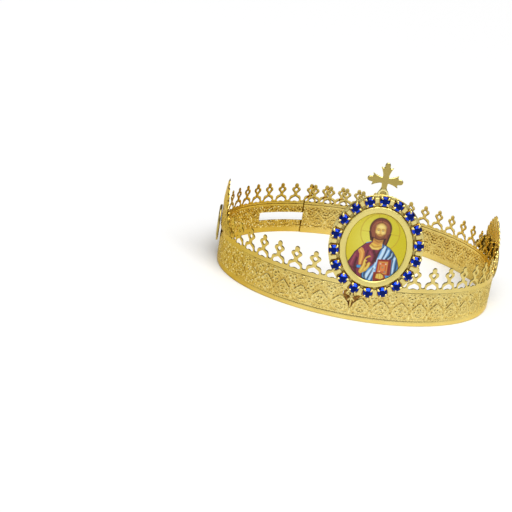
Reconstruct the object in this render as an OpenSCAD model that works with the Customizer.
// Wedding crown of stamped brass sheet: an adjustable head band with a cresting of
// small finials, a front medallion with a picture and a border of blue stones,
// a cross on top, and a ribbed leaf with an oval plate on each side.
// The front faces -Y, the wearer's head comes in from below, and Z is up.
// The origin is the middle of the head opening, level with the lower edge.

/* [Band] */
// Radius of the two half rounds of the band, to the middle of the sheet
ring_r = 92; // [89:1:93]
// Straight stretch between the half rounds at each side
side_flat = 12; // [8:1:14]
// Thickness of the stamped sheet
sheet = 0.5; // [0.4:0.05:0.6]
// How far the outer end stands off the inner end at the back
lap_step = 1.9; // [1.8:0.1:2.4]
// Length along the strip from the front to its inner end
inner_end = 335; // [334:1:336]
// Length along the strip from the front to its outer end
outer_end = 340; // [338:1:341]
// Height of the smooth lower rim
rim_h = 3; // [2:0.5:3.5]
// How far the lower rim swells outwards
rim_swell = 0.35; // [0.2:0.05:0.4]
// Height of the upper groove line
groove_z = 21.2; // [20.6:0.1:21.4]

/* [Cresting] */
// Distance from one finial to the next along the strip
pitch = 12.5; // [12.4:0.1:12.7]
// Place of the first finial right of the front
first_finial = 3.3; // [3:0.1:4]
// Place of the first cell of the stamped pattern right of the front
first_cell = 3.8; // [3.5:0.1:4.5]
// Height of the valley between two finials
valley_z = 24.6; // [24.3:0.1:24.8]
// Height of the middle of a finial's ring
eye_z = 32.9; // [32.6:0.1:33.2]
// Height of the top of the finials
crest_z = 37.8; // [37.5:0.1:38.2]

/* [Size slot] */
// Where the slot starts, along the strip from the front
slot_start = 228; // [220:1:240]
// Where the slot ends, under the inner end
slot_end = 308; // [306:1:312]
// Lower edge of the slot
slot_z = 9.3; // [8:0.1:11]
// Height of the slot
slot_h = 5.9; // [5:0.1:6.5]
// Place of the stud along the strip from the front
stud_s = 298; // [296:1:302]
// Radius of the stud's shank
stud_r = 1.5; // [1.2:0.1:2]
// Radius of the stud's heads
stud_head_r = 4; // [3.6:0.1:4.2]

/* [Medallion] */
// Height of the medallion's middle
medal_z = 47.9; // [47:0.1:49]
// Half width of the oval plate
plate_a = 28.2; // [28:0.1:29]
// Half height of the oval plate
plate_b = 31.8; // [31.6:0.1:32.4]
// Thickness of the oval plate
plate_t = 0.8; // [0.6:0.1:1.2]
// Half width of the oval that the stones follow
chain_a = 25.1; // [25:0.1:25.4]
// Half height of the oval that the stones follow
chain_b = 28.4; // [28.3:0.1:28.8]
// Half width of the frame round the picture
bezel_a = 21.9; // [21.4:0.1:21.9]
// Half height of the frame round the picture
bezel_b = 25; // [24.5:0.1:25.1]
// Width of the frame
bezel_w = 4; // [3.5:0.1:4.5]
// How far the frame stands out from the plate
bezel_t = 2.4; // [2:0.1:3]

/* [Stones] */
// Number of stones round the picture
stone_count = 18; // [18:1:18]
// Radius of a stone at its girdle
stone_r = 3; // [2.8:0.05:3]
// Height of the girdle over the plate
girdle_h = 2.2; // [2:0.1:2.4]
// Width of a square cup
cup_w = 6.1; // [6:0.05:6.1]

/* [Cross] */
// Height of the middle of the cross
cross_z = 88.1; // [87.8:0.1:88.6]
// How far the cross stands left of the middle, as it was soldered
cross_shift = 1.7; // [0:0.1:2]
// Length of an arm from the middle
arm_l = 10.6; // [10.2:0.1:10.8]
// Half width of an arm at its two points
arm_flare = 3.75; // [3.4:0.05:3.9]
// Half width of the small arched loop in front of the foot
loop_w = 3.2; // [3:0.1:3.4]
// Height of the top of the loop
loop_top = 83.3; // [83:0.1:83.6]
// Thickness of the sheet of the cross
cross_t = 0.8; // [0.6:0.1:1]

/* [Side ornaments] */
// Place of the middle of the right ornament, behind the middle of the crown
right_leaf_y = 3; // [1:0.5:5]
// Place of the middle of the left ornament, behind the middle of the crown
left_leaf_y = -9; // [-11:0.5:-7]
// Half width of the scalloped base
base_w = 33; // [32:0.5:34]
// Half width of the leaf
leaf_w = 20; // [19:0.5:20.5]
// Height of the tip of the leaf
leaf_tip = 54.8; // [54:0.2:56]
// How far the leaf leans inwards at its tip
leaf_lean = 1.6; // [0:0.2:2]
// Place of the middle of the side plates, behind the middle of the crown
side_plate_y = -3; // [-4:0.5:-2]
// Half width of the oval side plate
side_a = 9.5; // [9:0.5:10]
// Half height of the oval side plate
side_b = 11.4; // [11:0.1:12]
// Height of the middle of the oval side plate
side_z = 24; // [23.5:0.1:24.5]

/* [Hidden] */
function stone_name(k) = str("stone_", k < 10 ? "0" : "", k);
$fn = 64;
round_fn = 240;

gap = 0.15;
slim_gap = 0.05;
relief = 0.3;
embed = 0.3;
half_sheet = sheet / 2;
quarter = ring_r * PI / 2;
side_end = quarter + side_flat;
half_flat = side_flat / 2;
front_y = ring_r + half_flat;
plate_y = front_y + half_sheet + relief + gap;
face_y = plate_y + plate_t;
post_r = 0.8;
post_hole_r = post_r + gap;
post_head_r = 1.8;
post_head_t = 0.8;
post_x = 6;
post_z = 20;
backing_t = 0.5;
backing_r = ring_r - half_sheet - gap - backing_t;
backing_turn = 8.6;
ornament_t = 0.5;
ornament_r = half_sheet + relief + gap;
side_plate_off = 0.5;
side_plate_x = ring_r + ornament_r + ornament_t + side_plate_off;
side_plate_t = 1.45;
side_post_z = 19.4;
lean_z = 38;
wall_h = 1.7;
gold = [0.88, 0.79, 0.44];
deep_gold = [0.80, 0.65, 0.28];
brown_gold = [0.58, 0.38, 0.15];
blue = [0.05, 0.12, 0.66];

function oval(a, b, n = 72) = [for (i = [0 : n - 1]) [a * cos(360 * i / n), b * sin(360 * i / n)]];
function flipped(points) = [for (i = [len(points) - 1 : -1 : 0]) [-points[i][0], points[i][1]]];
function shifted(points, d) = [for (p = points) p + d];
function both_sides(points) = concat(points, flipped([for (p = points) if (p[0] > 0) p]));

// How far the strip has turned from the front at a length s along it
function turn_at(s, spread) =
    sign(s) * (abs(s) <= quarter ? abs(s) / ring_r
               : abs(s) <= side_end ? PI / 2
               : PI / 2 + (abs(s) - side_end) / (ring_r + spread)) * 180 / PI;

// Sets a piece on the middle of the sheet at a length s along the strip, with -Y outwards
module on_strip(s, spread = 0) {
    if (abs(s) <= quarter)
        translate([0, -half_flat, 0]) rotate([0, 0, turn_at(s, spread)])
            translate([0, -ring_r, 0]) children();
    else if (abs(s) <= side_end)
        translate([sign(s) * ring_r, abs(s) - quarter - half_flat, 0])
            rotate([0, 0, sign(s) * 90]) children();
    else
        translate([-sign(s) * spread, half_flat, 0]) rotate([0, 0, turn_at(s, spread)])
            translate([0, -(ring_r + spread), 0]) children();
}

// Stands a flat outline upright, from y0 to y1 outwards
module upright(y0, y1) {
    translate([0, -y0, 0]) rotate([90, 0, 0]) linear_extrude(y1 - y0) children();
}

// A rod that runs outwards, from y0 to y1, at height z
module rod(r, y0, y1, z) {
    translate([0, -y0, z]) rotate([90, 0, 0]) cylinder(r = r, h = y1 - y0);
}

// A section swept round a centre, from turn a1 to turn a2
module round_wall(y, r, a1, a2, x = 0) {
    translate([x, y, 0]) rotate([0, 0, a1 - 90])
        rotate_extrude(angle = a2 - a1, $fn = round_fn) translate([r, 0]) children();
}

// A wall along the strip on its right half, from the front to a length
module strip_half(length, spread) {
    round_wall(-half_flat, ring_r, 0, 90) children();
    translate([ring_r, 0, 0]) rotate([90, 0, 0]) linear_extrude(side_flat, center = true) children();
    round_wall(half_flat, ring_r + spread, 90, turn_at(length, spread), -spread) children();
}

// Section of the band: lower rim, groove lines and sheet
module band_section() {
    out = half_sheet;
    groove = 0.12;
    polygon([
        [-out, 0], [out + rim_swell * 0.5, 0], [out + rim_swell, 0.7], [out + rim_swell, rim_h - 0.9],
        [out, rim_h - 0.1], [out, groove_z - 0.2], [out - groove, groove_z], [out, groove_z + 0.2],
        [out, crest_z], [-out, crest_z]
    ]);
}

// Right edge of a finial, from the valley up to the top
function finial_edge() = [
    [pitch / 2, valley_z], [4.9, valley_z + 1.2], [4.7, valley_z + 2.5], [3.3, valley_z + 3.9],
    [1.4, valley_z + 4.4], [1.4, eye_z - 2.7], [3, eye_z - 1.2], [3.6, eye_z], [2.9, eye_z + 1.4],
    [1.5, eye_z + 2], [1.6, crest_z - 1.6], [1.1, crest_z - 0.6], [0.4, crest_z - 0.2]
];

// The gap between two finials, open at the top
function notch_outline() =
    let (left = shifted(finial_edge(), [-pitch / 2, 0]), last = left[len(left) - 1])
    concat(left, [[last[0], crest_z + 1]], [[-last[0], crest_z + 1]],
           [for (i = [len(left) - 1 : -1 : 1]) [-left[i][0], left[i][1]]]);

// The opening under a finial, with its wavy lower edge
function arch_opening() = both_sides([
    [0.3, valley_z + 2.9], [1.8, valley_z + 1.9], [3.5, valley_z + 0.6], [3.3, valley_z - 0.7],
    [2, valley_z - 1.1], [0.3, valley_z - 0.4]]);

// The hole in a finial's ring
function eye_outline() = [[0, eye_z + 1.3], [-1.4, eye_z + 0.1], [0, eye_z - 1.3], [1.4, eye_z + 0.1]];

// Cuts the cresting along the right half, or along the left half for side = -1
module crest_cuts(side, length, spread) {
    start = side > 0 ? first_finial : pitch - first_finial;
    for (s = [start - pitch : pitch : length + pitch]) {
        on_strip(s, spread) upright(-2, 3) {
            polygon(arch_opening());
            polygon(eye_outline());
        }
        on_strip(s + pitch / 2, spread) upright(-2, 3) polygon(notch_outline());
    }
}

// Raised pattern of one pitch: a pointed arch round a palmette
function ogive(w, low, high) = both_sides([
    [0, high], [w * 0.5, high - 4], [w, low + w * 1.3], [w * 0.9, low + w * 0.6], [w * 0.45, low]]);
function palmette() = both_sides([[0, 14], [1, 11.8], [2.6, 11.4], [1.4, 9.6], [2.6, 8], [0.5, 6.8]]);
function fleur() = both_sides([[0, 19.6], [0.7, 17.6], [2.4, 18], [2, 16.2], [0.5, 14.6], [0.4, 12.4]]);
module arch_pattern() {
    difference() {
        polygon(ogive(4.8, 4.4, 18.4));
        polygon(ogive(4, 5.2, 17));
    }
    polygon(palmette());
}
module relief_half(side, length, spread) {
    start = side > 0 ? first_cell : pitch - first_cell;
    low = half_sheet - embed;
    high = half_sheet + relief;
    for (s = [start : pitch : length - 2]) {
        if (s != pitch - first_cell)
            on_strip(s, spread) upright(low, high) polygon(fleur());
        if (s + pitch < length)
            on_strip(s + pitch / 2, spread) upright(low, high) arch_pattern();
    }
}

// One side of the cell that is pierced under the medallion, round its fleur
function cell_wing() = [
    [1.1, 18.9], [3.3, 19], [5.2, 17], [2.2, 12.6], [1, 13.6], [0.9, 15.4], [3.3, 16.2], [3.3, 17.3],
    [1.5, 17.4]];
function cell_tail() = [[0.5, 12], [1.5, 11.6], [0.9, 8.4], [0.5, 8.2]];
function cell_top() = [[1.1, 18.9], [3.3, 19], [4.6, 17.8], [3.3, 17.3], [1.5, 17.4]];
module both_cut(points) {
    upright(-2, 3) {
        polygon(points);
        polygon(flipped(points));
    }
}

// Holes for the medallion's posts, cut from the inside out
module post_holes() {
    for (x = [-post_x, post_x])
        translate([x, 0, 0]) rod(post_hole_r, ring_r / 2, front_y + 5, post_z);
}

// Hole for the post of a side plate, on the right side
module side_post_hole() {
    translate([ring_r - 3, side_plate_y, side_post_z]) rotate([0, 90, 0]) cylinder(r = post_hole_r, h = 8);
}

module strip_right() {
    difference() {
        union() {
            strip_half(inner_end, 0) band_section();
            relief_half(1, inner_end, 0);
        }
        crest_cuts(1, inner_end, 0);
        on_strip(stud_s) rod(stud_r + gap, -2, 3, slot_z + slot_h / 2);
    }
}
module strip_left() {
    mirror([1, 0, 0]) difference() {
        union() {
            strip_half(outer_end, lap_step) band_section();
            relief_half(-1, outer_end, lap_step);
        }
        crest_cuts(-1, outer_end, lap_step);
        round_wall(half_flat, ring_r + lap_step, turn_at(slot_start, lap_step),
                   turn_at(slot_end, lap_step), -lap_step)
            translate([-1, slot_z]) square([3, slot_h]);
    }
}
module band() {
    color(gold) difference() {
        union() {
            strip_right();
            strip_left();
            on_strip(first_cell - pitch / 2)
                upright(half_sheet - embed, half_sheet + relief) arch_pattern();
        }
        on_strip(first_cell - pitch) {
            both_cut(cell_wing());
            both_cut(cell_tail());
        }
        on_strip(first_cell) both_cut(cell_top());
        post_holes();
        for (side = [-1, 1]) mirror([side > 0 ? 0 : 1, 0, 0]) side_post_hole();
    }
}

// Holds the two ends of the band together through the slot
module size_stud() {
    z = slot_z + slot_h / 2;
    head_in = half_sheet + gap;
    head_out = lap_step + half_sheet + relief + gap + slim_gap;
    color(deep_gold) on_strip(stud_s) {
        rod(stud_head_r, -head_in - 0.9, -head_in, z);
        rod(stud_r, -head_in - 0.1, head_out + 0.1, z);
        rod(stud_head_r, head_out, head_out + 0.9, z);
    }
}

// Oval plate behind the medallion, with two posts through the band
module front_plate() {
    head_y = backing_r + half_flat - 0.55;
    color(gold) {
        translate([0, 0, medal_z]) upright(plate_y, face_y) polygon(oval(plate_a, plate_b));
        for (x = [-post_x, post_x]) translate([x, 0, 0]) {
            rod(post_r, head_y - 0.1, plate_y + 0.2, post_z);
            rod(post_head_r, head_y - post_head_t, head_y, post_z);
        }
    }
}

// Plain strip of sheet inside the front of the band
module backing_plate() {
    low = 6;
    high = 22;
    color(brown_gold) difference() {
        round_wall(-half_flat, backing_r, -backing_turn, backing_turn)
            translate([0, low]) square([backing_t, high - low]);
        post_holes();
    }
}

// Plain moulded frame round the picture
module bezel() {
    inner_a = bezel_a - bezel_w;
    inner_b = bezel_b - bezel_w;
    steps = [[0, 0, 0], [0.5, 0.35, 0.1], [0.8, 0.9, 0.25], [0.95, 1.5, 0.5]];
    color(gold) translate([0, 0, medal_z]) for (i = [0 : len(steps) - 1]) {
        low = i == 0 ? slim_gap : steps[i - 1][0] * bezel_t;
        high = i == len(steps) - 1 ? bezel_t : steps[i][0] * bezel_t + (i == 0 ? 0.8 : 0.1);
        upright(face_y + low, face_y + high) difference() {
            polygon(oval(bezel_a - steps[i][1], bezel_b - steps[i][1]));
            polygon(oval(inner_a + steps[i][2], inner_b + steps[i][2]));
        }
    }
}

module picture() {
    a = bezel_a - bezel_w - gap;
    b = bezel_b - bezel_w - gap;
    color([0.85, 0.75, 0.25]) translate([0, 0, medal_z])
        upright(face_y + slim_gap, face_y + 1.4) polygon(oval(a, b));
}

// Sets a piece at stone k on the plate, with Z outwards and Y away from the medallion's middle
module at_stone(k) {
    a = 90 - (k - 1) * 360 / stone_count;
    across = atan2(chain_a * sin(a), chain_b * cos(a));
    translate([chain_a * cos(a), -face_y, medal_z + chain_b * sin(a)])
        rotate([90, 0, 0]) rotate([0, 0, across - 90]) children();
}

// A cut stone, girdle at Z = 0: table, eight crown facets, girdle and pointed back
module stone(k) {
    n = 8;
    table_r = stone_r * 0.58;
    crown_h = 1;
    girdle_low = -0.2;
    culet = -1.95;
    ring = [for (i = [0 : n - 1]) 360 * (i + 0.5) / n];
    points = concat(
        [for (a = ring) [table_r * cos(a), table_r * sin(a), crown_h]],
        [for (a = ring) [stone_r * cos(a), stone_r * sin(a), 0]],
        [for (a = ring) [stone_r * cos(a), stone_r * sin(a), girdle_low]],
        [[0, 0, culet]]
    );
    top = [[for (i = [n - 1 : -1 : 0]) i]];
    crown = [for (i = [0 : n - 1]) [i, (i + 1) % n, n + (i + 1) % n, n + i]];
    girdle = [for (i = [0 : n - 1]) [n + i, n + (i + 1) % n, 2 * n + (i + 1) % n, 2 * n + i]];
    back = [for (i = [0 : n - 1]) [2 * n + i, 2 * n + (i + 1) % n, 3 * n]];
    color(blue) at_stone(k) translate([0, 0, girdle_h])
        polyhedron(points = points, faces = concat(top, crown, girdle, back));
}

// Square cups with four prongs, joined by short flat links
module cup_chain() {
    prong_at = stone_r + 0.35;
    link_w = 2.6;
    color(gold) for (k = [1 : stone_count]) {
        at_stone(k) {
            translate([0, 0, slim_gap]) linear_extrude(wall_h - slim_gap) difference() {
                square(cup_w, center = true);
                square(cup_w - 1, center = true);
            }
            for (a = [45 : 90 : 315]) rotate([0, 0, a]) {
                translate([prong_at + 0.15, 0, 0.3]) cylinder(r = 0.4, h = girdle_h + 0.6, $fn = 16);
                translate([prong_at - 0.05, 0, girdle_h + 0.85]) sphere(r = 0.5, $fn = 16);
            }
        }
        next = 90 - (k - 0.5) * 360 / stone_count;
        across = atan2(chain_a * sin(next), chain_b * cos(next));
        translate([chain_a * cos(next), -face_y, medal_z + chain_b * sin(next)])
            rotate([90, 0, 0]) rotate([0, 0, across - 90])
                translate([0, 0, slim_gap + 0.45]) cube([4.4, link_w, 0.8], center = true);
    }
}

// Half of an arm that ends in two points and a rounded lobe, as [half width, distance from the middle]
function arm_half() = [
    [0, arm_l], [0.8, arm_l - 0.3], [1.5, arm_l - 1.2], [1.7, arm_l - 2.6], [2.1, arm_l - 3.2],
    [arm_flare, arm_l - 2.9], [2.9, 6], [1.6, 2.9]
];

// Flat cross of three such arms, on a flared foot that ends in a tab behind the plate
module cross() {
    arm = arm_half();
    inner = 1.9;
    foot_w = 3.6;
    foot = cross_z - medal_z - plate_b + 0.5;
    tab = 4.5;
    side_up = [for (i = [len(arm) - 1 : -1 : 0]) [arm[i][1], arm[i][0]]];
    side_down = [for (i = [1 : len(arm) - 1]) [arm[i][1], -arm[i][0]]];
    right_half = concat(arm, [[inner, inner]], side_up, side_down,
        [[inner, -inner], [1.3, -3.2], [1.4, -4.6], [2.4, -6.4], [foot_w, -foot], [foot_w, -foot - tab]]);
    color(gold) {
        translate([-cross_shift, 0, cross_z])
            upright(plate_y - gap - cross_t, plate_y - gap) polygon(both_sides(right_half));
        foot_loop();
    }
}

// Small arched loop raised on the front of the cross's foot
module foot_loop() {
    low = medal_z + plate_b + gap;
    back_y = plate_y - gap;
    loop_t = 0.9;
    strip_w = 1.5;
    in_w = loop_w - strip_w;
    in_top = loop_top - strip_w;
    outer = [[0, loop_top], [loop_w * 0.6, loop_top - 0.6], [loop_w, loop_top - 1.9], [loop_w, low]];
    inner = [[0, in_top], [in_w * 0.8, in_top - 0.6], [in_w, low - 1]];
    translate([-cross_shift, 0, 0]) upright(back_y - embed, back_y + loop_t) difference() {
        polygon(both_sides(outer));
        polygon(both_sides(inner));
    }
}

// Outline of a side ornament: a ribbed, scalloped leaf on a scalloped base
function ornament_edge() = [
    [0, leaf_tip], [3.4, leaf_tip - 0.4], [4.6, leaf_tip - 1.7], [7.4, leaf_tip - 1.8], [8.6, leaf_tip - 4],
    [12.2, leaf_tip - 4.6], [13, leaf_tip - 7], [15.8, leaf_tip - 7.8], [16, leaf_tip - 10.2],
    [leaf_w - 1.2, leaf_tip - 11.6], [leaf_w, leaf_tip - 15], [leaf_w - 0.8, 36.4], [23.4, 35], [24.6, 32.9],
    [27.4, 32.4], [28.6, 29.8], [31.4, 29.2], [base_w, 26.6], [base_w - 2, 24.4], [27.5, 24.6],
    [23.5, 23], [18, 24], [12, 22.8], [6, 23.8], [0, 22.6]
];

// Ribs of the leaf, spread from its foot, and small arches on its base
function base_arch() = [
    [-2, 26], [-1.5, 28.6], [0, 30.4], [1.5, 28.6], [2, 26], [0.9, 26], [0, 28.6], [-0.9, 26]];
module leaf_ribs() {
    rib_w = 0.45;
    rib_low = lean_z + 0.5;
    rib_step = 3.75;
    for (x = [-4 * rib_step : rib_step : 4 * rib_step]) {
        rib_high = leaf_tip - 2.8 - abs(x) * 0.55;
        polygon([[x / 2 - rib_w, rib_low], [x / 2 + rib_w, rib_low], [x + rib_w, rib_high],
                 [x - rib_w, rib_high]]);
    }
    for (x = [-24 : 6 : 24]) polygon(shifted(base_arch(), [x, 0]));
}

// A sheet that follows the side of the band, from r0 to r1 off its middle, cut to an outline.
// Above lean_z it leans inwards
module bent_sheet(y, r0, r1, spread) {
    reach = side_end + base_w + 15;
    low = 15;
    high = leaf_tip + 2;
    slant = leaf_lean * (high - lean_z) / (leaf_tip - lean_z);
    inside = ring_r / 2;
    intersection() {
        strip_half(reach, spread) polygon([
            [r0, low], [r1, low], [r1, lean_z], [r1 - slant, high], [r0 - slant, high], [r0, lean_z]]);
        translate([inside, y, 0]) rotate([90, 0, 90]) linear_extrude(ring_r) children();
    }
}
module ornament(side) {
    y = side > 0 ? right_leaf_y : left_leaf_y;
    spread = side > 0 ? 0 : lap_step;
    face = ornament_r + ornament_t;
    color(gold) mirror([side > 0 ? 0 : 1, 0, 0]) difference() {
        union() {
            bent_sheet(y, ornament_r, face, spread) polygon(both_sides(ornament_edge()));
            bent_sheet(y, face - embed, face + relief, spread) leaf_ribs();
        }
        side_post_hole();
    }
}

// Smooth oval plate outside the ornament, with a tab below and a post into the band
module side_plate(side) {
    head_x = ring_r - half_sheet - gap - post_head_t;
    bevel = 1.2;
    tab_w = 4.4;
    tab_l = 1.4;
    color(gold) mirror([side > 0 ? 0 : 1, 0, 0]) translate([0, side_plate_y, 0]) {
        translate([side_plate_x, 0, side_z]) rotate([90, 0, 90]) {
            linear_extrude(side_plate_t) {
                polygon(oval(side_a, side_b));
                translate([-tab_w / 2, -side_b - tab_l]) square([tab_w, 2 * tab_l]);
            }
            linear_extrude(side_plate_t + 0.4) polygon(oval(side_a - bevel, side_b - bevel));
        }
        translate([head_x, 0, side_post_z]) rotate([0, 90, 0]) {
            cylinder(r = post_head_r, h = post_head_t);
            cylinder(r = post_r, h = side_plate_x - head_x + 0.5);
        }
    }
}

band();
size_stud();
front_plate();
backing_plate();
bezel();
picture();
cup_chain();
cross();
ornament(-1);  // ornament_left
ornament(1);  // ornament_right
side_plate(-1);  // side_plate_left
side_plate(1);  // side_plate_right
for (k = [1 : stone_count])
    stone(k);
